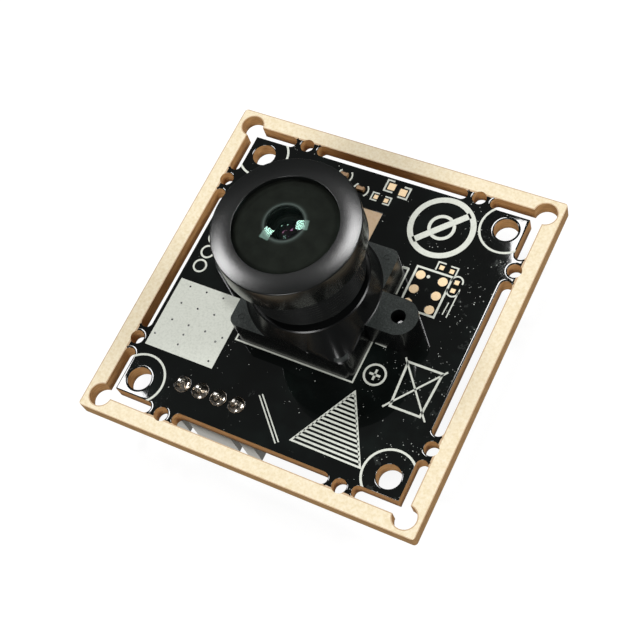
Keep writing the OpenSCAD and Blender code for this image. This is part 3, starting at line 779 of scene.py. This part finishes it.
class CAMERAMODULE_OT_lens(bpy.types.Operator):
    """Turn the lens body with its fine threads, the front cap and the glass inside"""

    bl_idname = "camera_module.lens"
    bl_label = "Lens"

    def execute(self, context):
        sizes = context.scene.camera_module_lens
        cap = anodised("bead_blasted_black_anodised", sizes.cap_roughness, 0.13, 0.0035)
        body = anodised("turned_black_anodised", 0.2, 0.4, 0.004)
        tail, top = low("lens_barrel")[2], high("lens_barrel")[2]
        neck_r = high("lens_barrel")[0]
        cap_low, cap_r = low("front_cap")[2], high("front_cap")[0]
        face_z = high("front_cap")[2]

        # body: M12 thread of 0.5 mm pitch below, wider threaded neck above
        pitch = sizes.thread_pitch / MM
        neck_z = tail + 4.4
        root, crest, ridge = 5.62, 5.96, 0.2
        exit_r, bore_r, front_bore_r = 3.1, 3.7, 4.6
        profile = [(exit_r, tail), (root + 0.04, tail)]
        z = tail + 0.3
        while z + pitch < neck_z - 0.2:
            profile += [(root, z), (crest, z + pitch * 0.42), (crest, z + pitch * 0.55)]
            z += pitch
        profile += [(root, neck_z), (neck_r, neck_z)]
        z = neck_z + 0.12
        while z + pitch < cap_low + 1.0:
            profile += [(neck_r, z), (neck_r + ridge, z + pitch * 0.4),
                        (neck_r + ridge, z + pitch * 0.55)]
            z += pitch
        step_z, exit_z = tail + 8.1, tail + 2.1
        profile += [(neck_r, z), (neck_r, top), (front_bore_r, top), (front_bore_r, step_z),
                    (bore_r, step_z), (bore_r, exit_z), (exit_r, exit_z)]
        bm = bmesh.new()
        revolve(bm, profile, 160)
        to_object("threaded_lens_body", bm, [body], 25, ["lens_barrel"])

        # cap: small rounds on every edge and a face that rises a little to the opening
        hole = 6.075  # radius of the opening
        rim_z = face_z - sizes.face_rise / MM
        seat_r = neck_r + 0.24
        low_round, rim_round, lip_round = 0.12, 0.14, 0.07
        profile = [(seat_r, cap_low), (cap_r - 0.2, cap_low)]
        profile += bead(cap_r - low_round, cap_low + low_round, low_round, -90, 0)
        profile += bead(cap_r - rim_round, rim_z - rim_round, rim_round, 0, 84)
        profile += bead(hole + lip_round, face_z - lip_round, lip_round, 86, 180)
        profile += [(hole, face_z - 0.5), (hole + 0.25, face_z - 0.55),
                    (hole + 0.25, cap_low + 2.6), (seat_r, cap_low + 2.5)]
        bm = bmesh.new()
        revolve(bm, profile, 192)
        to_object("bevelled_front_cap", bm, [cap], 35, ["front_cap"])
        self.glass(sizes)
        return {"FINISHED"}

    def glass(self, sizes):
        """Builds the front glass, its blacking and the baffle, and finishes what is behind them."""
        lo, hi = low("front_element"), high("front_element")
        edge_r, apex, back = hi[0], hi[2], lo[2]
        curve = sizes.front_curve / MM

        def dome(r, radius, top):
            """Height of a dome of this radius at distance r from its top's axis."""
            return top - (radius - math.sqrt(radius * radius - r * r))

        n, bowl_n = 28, 14
        bowl_r, bowl_depth = 2.35, 0.95
        bowl = (bowl_r ** 2 + bowl_depth ** 2) / (2 * bowl_depth)
        outer = [(edge_r * i / n, dome(edge_r * i / n, curve, apex)) for i in range(n + 1)]
        inner = [(bowl_r * i / bowl_n,
                  back + bowl_depth - (bowl - math.sqrt(bowl ** 2 - (bowl_r * i / bowl_n) ** 2)))
                 for i in range(bowl_n, -1, -1)]
        bm = bmesh.new()
        revolve(bm, outer + [(edge_r, back)] + inner, 128, closed=False)
        clear = front_glass_finish(bowl_r)
        to_object("front_glass", bm, [clear], 30, ["front_element"])

        black = matt_black("lens_blacking_paint", "#0B0D0C")
        # blacking on the back of the front glass, leaving only the bowl clear
        bm = bmesh.new()
        coat_in, coat_out = bowl_r + 0.05, edge_r - 0.05
        coat_top, coat_low = back - 0.02, back - 0.06
        revolve(bm, [(coat_in, coat_top), (coat_out, coat_top), (coat_out, coat_low),
                     (coat_in, coat_low)], 96)
        to_object("front_glass_blacking", bm, [black], 30)
        # stepped black cone down to the second glass
        bm = bmesh.new()
        # radius and depth under the glass's back
        steps = ((2.3, 0.25), (2.1, 0.6), (1.75, 0.75), (1.65, 1.0), (1.85, 1.3), (4.5, 1.3),
                 (4.5, 0.08))
        revolve(bm, [(bowl_r + 0.1, coat_low)] + [(r, back - down) for r, down in steps], 96)
        to_object("light_baffle", bm, [black], 30)

        second = optical_glass("coated_flint_glass", "#D8D3DC", Specular_Tint=linear("#E08CC8"),
                               Specular_IOR_Level=0.3)
        third = optical_glass("coated_green_glass", "#CFE3C8", Specular_Tint=linear("#C8E070"),
                              Specular_IOR_Level=0.9)
        for node, material in (("second_element", second), ("third_element", third),
                               ("fourth_element", second), ("rear_element", third)):
            dress(node, material)
        dress("lens_spacer", matt_black("black_acetal_spacer", "#0E0E0F"))
        dress("rear_spacer", matt_black("black_acetal_rear_spacer", "#0E0E0F"))
        dress("aperture_plate", matt_black("blackened_brass_foil", "#070707"))


class CAMERAMODULE_OT_connector(bpy.types.Operator):
    """Finish the socket and its pins, and flow the four solder joints"""

    bl_idname = "camera_module.connector"
    bl_label = "Connector"

    def execute(self, context):
        dress("connector_housing", plastic("ivory_moulded_nylon", "#F0EEE6", "#FAF9F4", 0.42))
        dress("connector_pins", tin("tin_plated_brass_pins", "#C9C7C2", 0.28))
        # outline of a joint: radius and height over the board
        cone = ((1.0, 0.01), (1.0, 0.05), (0.82, 0.16), (0.66, 0.4), (0.52, 0.68), (0.4, 0.92),
                (0.22, 1.08), (0, 1.12))
        rng = random.Random(4)
        bm = bmesh.new()
        for x, y in PIN_PLACES:
            seed = Vector((rng.uniform(0, 50), rng.uniform(0, 50), 0))
            rings = revolve(bm, [(r, BOARD_TOP + up) for r, up in cone], 32, (x, y), closed=False)
            for ring in rings[2:]:
                for v in ring:
                    push = noise.noise(v.co * 1.9 + seed) * 0.16
                    push += noise.noise(v.co * 5 + seed) * 0.07
                    out = Vector((v.co.x - x, v.co.y - y, 0.35))
                    v.co += out.normalized() * push
        solder = tin("reflowed_tin_solder", "#D8CDBE", 0.2, 0.3)
        to_object("solder_cones", bm, [solder], 60, ["solder_joints"])
        return {"FINISHED"}


class CAMERAMODULE_OT_chips(bpy.types.Operator):
    """Finish the chips under the board and the small two-ended parts"""

    bl_idname = "camera_module.chips"
    bl_label = "Chips"

    def execute(self, context):
        epoxy = plastic("moulded_black_epoxy", "#131415", "#1D1E20", 0.45, 0.08)
        for node in ("image_processor", "flash_memory", "voltage_regulators"):
            dress(node, epoxy)
        dress("crystal", tin("nickel_plated_crystal_can", "#C4C4C2", 0.3))
        dress("power_inductors", plastic("pressed_ferrite_powder", "#2A2A2B", "#3B3B3D", 0.6, 0.12,
                                         0.02))
        dress("chip_capacitors", plastic("fired_tan_ceramic", "#8B6743", "#B08A5E", 0.45))
        dress("chip_resistors", plastic("glazed_black_film", "#101113", "#1C1E22", 0.3))
        return {"FINISHED"}


# ---------------------------------------------------------------- stage

# camera: place and aim in millimetres, roll in degrees, shift as a share of the sensor
CAMERA_EYE = (61.07, -54.67, 144.72)
CAMERA_TARGET = (4.745, -4.273, 10.0)
CAMERA_ROLL = -24.83
CAMERA_SHIFT = (-0.0122, -0.0045)

# lamps: name, direction towards the lamp, distance in metres, width and height in metres, radiance
LAMPS = (
    ("lamp_back_left", (-0.56, 0.14, 0.816), 1.2, 0.20, 0.20, 28.0),
    ("lamp_back_right", (-0.15, 0.415, 0.897), 1.2, 0.20, 0.20, 28.0),
    ("softbox_left", (0.1, -0.72, 0.68), 1.2, 0.42, 0.42, 13.5),
    ("softbox_right", (0.75, 0.30, 0.58), 1.2, 0.42, 0.36, 13.5),
)


class CAMERAMODULE_OT_stage(bpy.types.Operator):
    """Set the pale floor, the lamps and the camera"""

    bl_idname = "camera_module.stage"
    bl_label = "Stage"

    def execute(self, context):
        scene = context.scene
        look = scene.camera_module_stage
        bm = bmesh.new()
        bmesh.ops.create_grid(bm, x_segments=8, y_segments=8, size=FLOOR_SIZE)
        mesh = bpy.data.meshes.new("floor")
        bm.to_mesh(mesh)
        bm.free()
        floor = bpy.data.objects.new("floor", mesh)
        floor.location.z = FLOOR_Z * MM
        scene.collection.objects.link(floor)
        paper, tree, shader = finish_of("matt_white_paper", "#E4E4E2", Roughness=0.9)
        shader.inputs["Base Color"].default_value = tuple(look.floor_colour) + (1.0,)
        ray = add(tree, "ShaderNodeLightPath").outputs["Is Camera Ray"]
        glow = add(tree, "ShaderNodeEmission",
                   {"Color": (1, 1, 1, 1), "Strength": look.floor_white})
        faint = add(tree, "ShaderNodeBsdfDiffuse", {"Color": grey(0.22)})
        seen = add(tree, "ShaderNodeAddShader")
        tree.links.new(glow.outputs[0], seen.inputs[0])
        tree.links.new(faint.outputs[0], seen.inputs[1])
        mixed = add(tree, "ShaderNodeMixShader",
                    links={0: ray, 1: shader.outputs[0], 2: seen.outputs[0]})
        tree.links.new(mixed.outputs[0], tree.nodes["Material Output"].inputs["Surface"])
        mesh.materials.append(paper)

        world = scene.world or bpy.data.worlds.new("World")
        scene.world = world
        world.use_nodes = True
        tree = world.node_tree
        tree.nodes.clear()
        ray = add(tree, "ShaderNodeLightPath").outputs["Is Camera Ray"]
        room = add(tree, "ShaderNodeBackground", {"Color": grey(1.0), "Strength": look.room_level})
        white = add(tree, "ShaderNodeBackground", {"Color": grey(1.0), "Strength": 1.0})
        mixed = add(tree, "ShaderNodeMixShader",
                    links={0: ray, 1: room.outputs[0], 2: white.outputs[0]})
        out = add(tree, "ShaderNodeOutputWorld")
        tree.links.new(mixed.outputs[0], out.inputs["Surface"])

        aim = Vector((0, 0, 6 * MM))
        for name, direction, distance, width, height, radiance in LAMPS:
            lamp = bpy.data.lights.new(name, "AREA")
            lamp.shape = "RECTANGLE"
            lamp.size, lamp.size_y = width, height
            lamp.energy = radiance * math.pi * width * height
            o = bpy.data.objects.new(name, lamp)
            towards = Vector(direction).normalized()
            o.location = aim + towards * distance
            o.rotation_mode = "QUATERNION"
            o.rotation_quaternion = towards.to_track_quat("Z", "Y")
            scene.collection.objects.link(o)

        camera = bpy.data.cameras.new("camera")
        camera.lens = look.lens
        camera.sensor_width = 36.0
        camera.shift_x, camera.shift_y = CAMERA_SHIFT
        camera.clip_start, camera.clip_end = 0.01, 20.0
        o = bpy.data.objects.new("camera", camera)
        eye, target = Vector(CAMERA_EYE) * MM, Vector(CAMERA_TARGET) * MM
        back = (eye - target).normalized()
        right = Vector((0, 0, 1)).cross(back).normalized()
        up = back.cross(right)
        roll = math.radians(CAMERA_ROLL)
        x = right * math.cos(roll) + up * math.sin(roll)
        y = up * math.cos(roll) - right * math.sin(roll)
        o.matrix_world = Matrix((
            (x.x, y.x, back.x, eye.x), (x.y, y.y, back.y, eye.y), (x.z, y.z, back.z, eye.z),
            (0, 0, 0, 1)))
        scene.collection.objects.link(o)
        scene.camera = o
        scene.view_settings.view_transform = "Standard"
        return {"FINISHED"}


# ---------------------------------------------------------------- settings, panel and registration

class CameraModuleBoard(bpy.types.PropertyGroup):
    edge_roll: FloatProperty(name="Edge roll",
                             description="Width over which the lacquer rolls down to an edge",
                             default=0.22 * MM, min=0.05 * MM, max=0.24 * MM, unit="LENGTH")


class CameraModuleLens(bpy.types.PropertyGroup):
    thread_pitch: FloatProperty(name="Thread pitch",
                                description="Pitch of the fine threads on the lens body",
                                default=0.5 * MM, min=0.35 * MM, max=1 * MM, unit="LENGTH")
    face_rise: FloatProperty(name="Face rise",
                             description="How far the cap's face rises from its rim to the opening",
                             default=0.2 * MM, min=0.0, max=0.4 * MM, unit="LENGTH")
    front_curve: FloatProperty(name="Front curve",
                               description="Radius of the front glass's outer surface",
                               default=14.5 * MM, min=10 * MM, max=30 * MM, unit="LENGTH")
    cap_roughness: FloatProperty(name="Cap roughness",
                                 description="Roughness of the bead-blasted cap",
                                 default=0.2, min=0.05, max=0.8, subtype="FACTOR")


class CameraModuleStage(bpy.types.PropertyGroup):
    floor_colour: FloatVectorProperty(name="Floor colour", description="Colour of the paper floor",
                                      size=3,
                                      default=linear("#6E6E6C")[:3], min=0.0, max=1.0,
                                      subtype="COLOR")
    floor_white: FloatProperty(name="Floor white",
                               description="How white the floor shows to the camera",
                               default=0.86, min=0.0, max=2.0)
    room_level: FloatProperty(name="Room light",
                              description="Level of the even light from all round",
                              default=0.12, min=0.0, max=2.0)
    lens: FloatProperty(name="Lens", description="Focal length of the camera in millimetres",
                        default=77.03, min=10.0, max=300.0)


STEPS = ("stage", "board", "legend", "holder", "lens", "connector", "chips")


class CAMERAMODULE_PT_panel(bpy.types.Panel):
    """Lists the steps that dress the camera module"""

    bl_idname = "CAMERAMODULE_PT_panel"
    bl_label = "Camera Module"
    bl_space_type = "VIEW_3D"
    bl_region_type = "UI"
    bl_category = "Camera Module"

    def draw(self, context):
        layout = self.layout
        for step in STEPS:
            layout.operator("camera_module." + step)
        for group in (context.scene.camera_module_board, context.scene.camera_module_lens,
                      context.scene.camera_module_stage):
            box = layout.box()
            for name in group.__annotations__:
                box.prop(group, name)


CLASSES = (CameraModuleBoard, CameraModuleLens, CameraModuleStage, CAMERAMODULE_OT_stage,
           CAMERAMODULE_OT_board,
           CAMERAMODULE_OT_legend, CAMERAMODULE_OT_holder, CAMERAMODULE_OT_lens,
           CAMERAMODULE_OT_connector,
           CAMERAMODULE_OT_chips, CAMERAMODULE_PT_panel)
GROUPS = (("camera_module_board", CameraModuleBoard), ("camera_module_lens", CameraModuleLens),
          ("camera_module_stage", CameraModuleStage))


def register():
    for made in CLASSES:
        bpy.utils.register_class(made)
    for name, group in GROUPS:
        setattr(bpy.types.Scene, name, PointerProperty(type=group))


def unregister():
    for name, group in GROUPS:
        delattr(bpy.types.Scene, name)
    for made in reversed(CLASSES):
        bpy.utils.unregister_class(made)


def main():
    register()
    for step in STEPS:
        getattr(bpy.ops.camera_module, step)()


if __name__ == "__main__":
    main()
